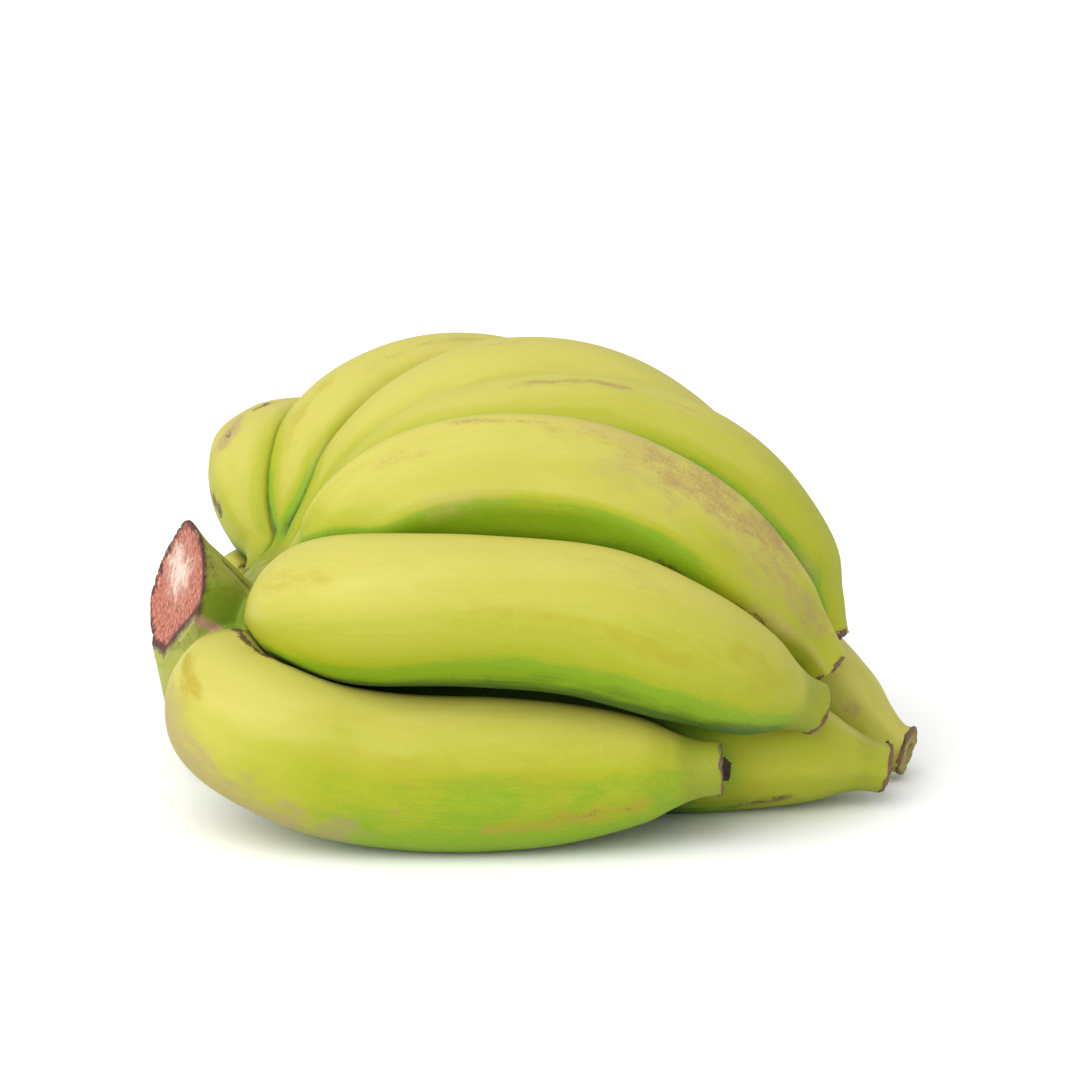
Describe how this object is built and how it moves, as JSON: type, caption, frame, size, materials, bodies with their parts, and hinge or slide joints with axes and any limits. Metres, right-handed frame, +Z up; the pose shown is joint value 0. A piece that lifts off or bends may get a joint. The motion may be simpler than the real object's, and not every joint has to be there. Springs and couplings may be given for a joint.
{
  "type": "hand of burro bananas",
  "caption": "Hand of short, thick, angular green bananas in two rows on one cut crown, lying on its side, with dry flower scars at the tips.",
  "frame": {"origin": "on the surface that the hand lies on, under the middle of its bounding box", "axes": "+X from the cut crown to the fruits' tips, +Y from the front of the hand to its back, +Z up from the surface"},
  "size_m": [0.1982, 0.18, 0.109],
  "materials": {
    "peel": "waxy satin fruit peel, green turning yellow",
    "crown": "dull olive green stalk with a dry fibrous brown cut",
    "blossom_scar": "dry, rough, nearly black"
  },
  "bodies": {
    "root": {"crown": "crown", "banana_front_low": "peel", "banana_front_middle": "peel", "banana_front_high": "peel", "banana_top": "peel", "banana_top_back": "peel", "banana_back_high": "peel", "banana_back": "peel", "banana_back_low": "peel", "banana_inner_front": "peel", "banana_inner_middle": "peel", "banana_inner_low": "peel", "banana_inner_back": "peel", "scar_front_low": "blossom_scar", "scar_front_middle": "blossom_scar", "scar_front_high": "blossom_scar", "scar_top": "blossom_scar", "scar_top_back": "blossom_scar", "scar_back_high": "blossom_scar", "scar_back": "blossom_scar", "scar_back_low": "blossom_scar", "scar_inner_front": "blossom_scar", "scar_inner_middle": "blossom_scar", "scar_inner_low": "blossom_scar", "scar_inner_back": "blossom_scar"}
  },
  "joints": []
}
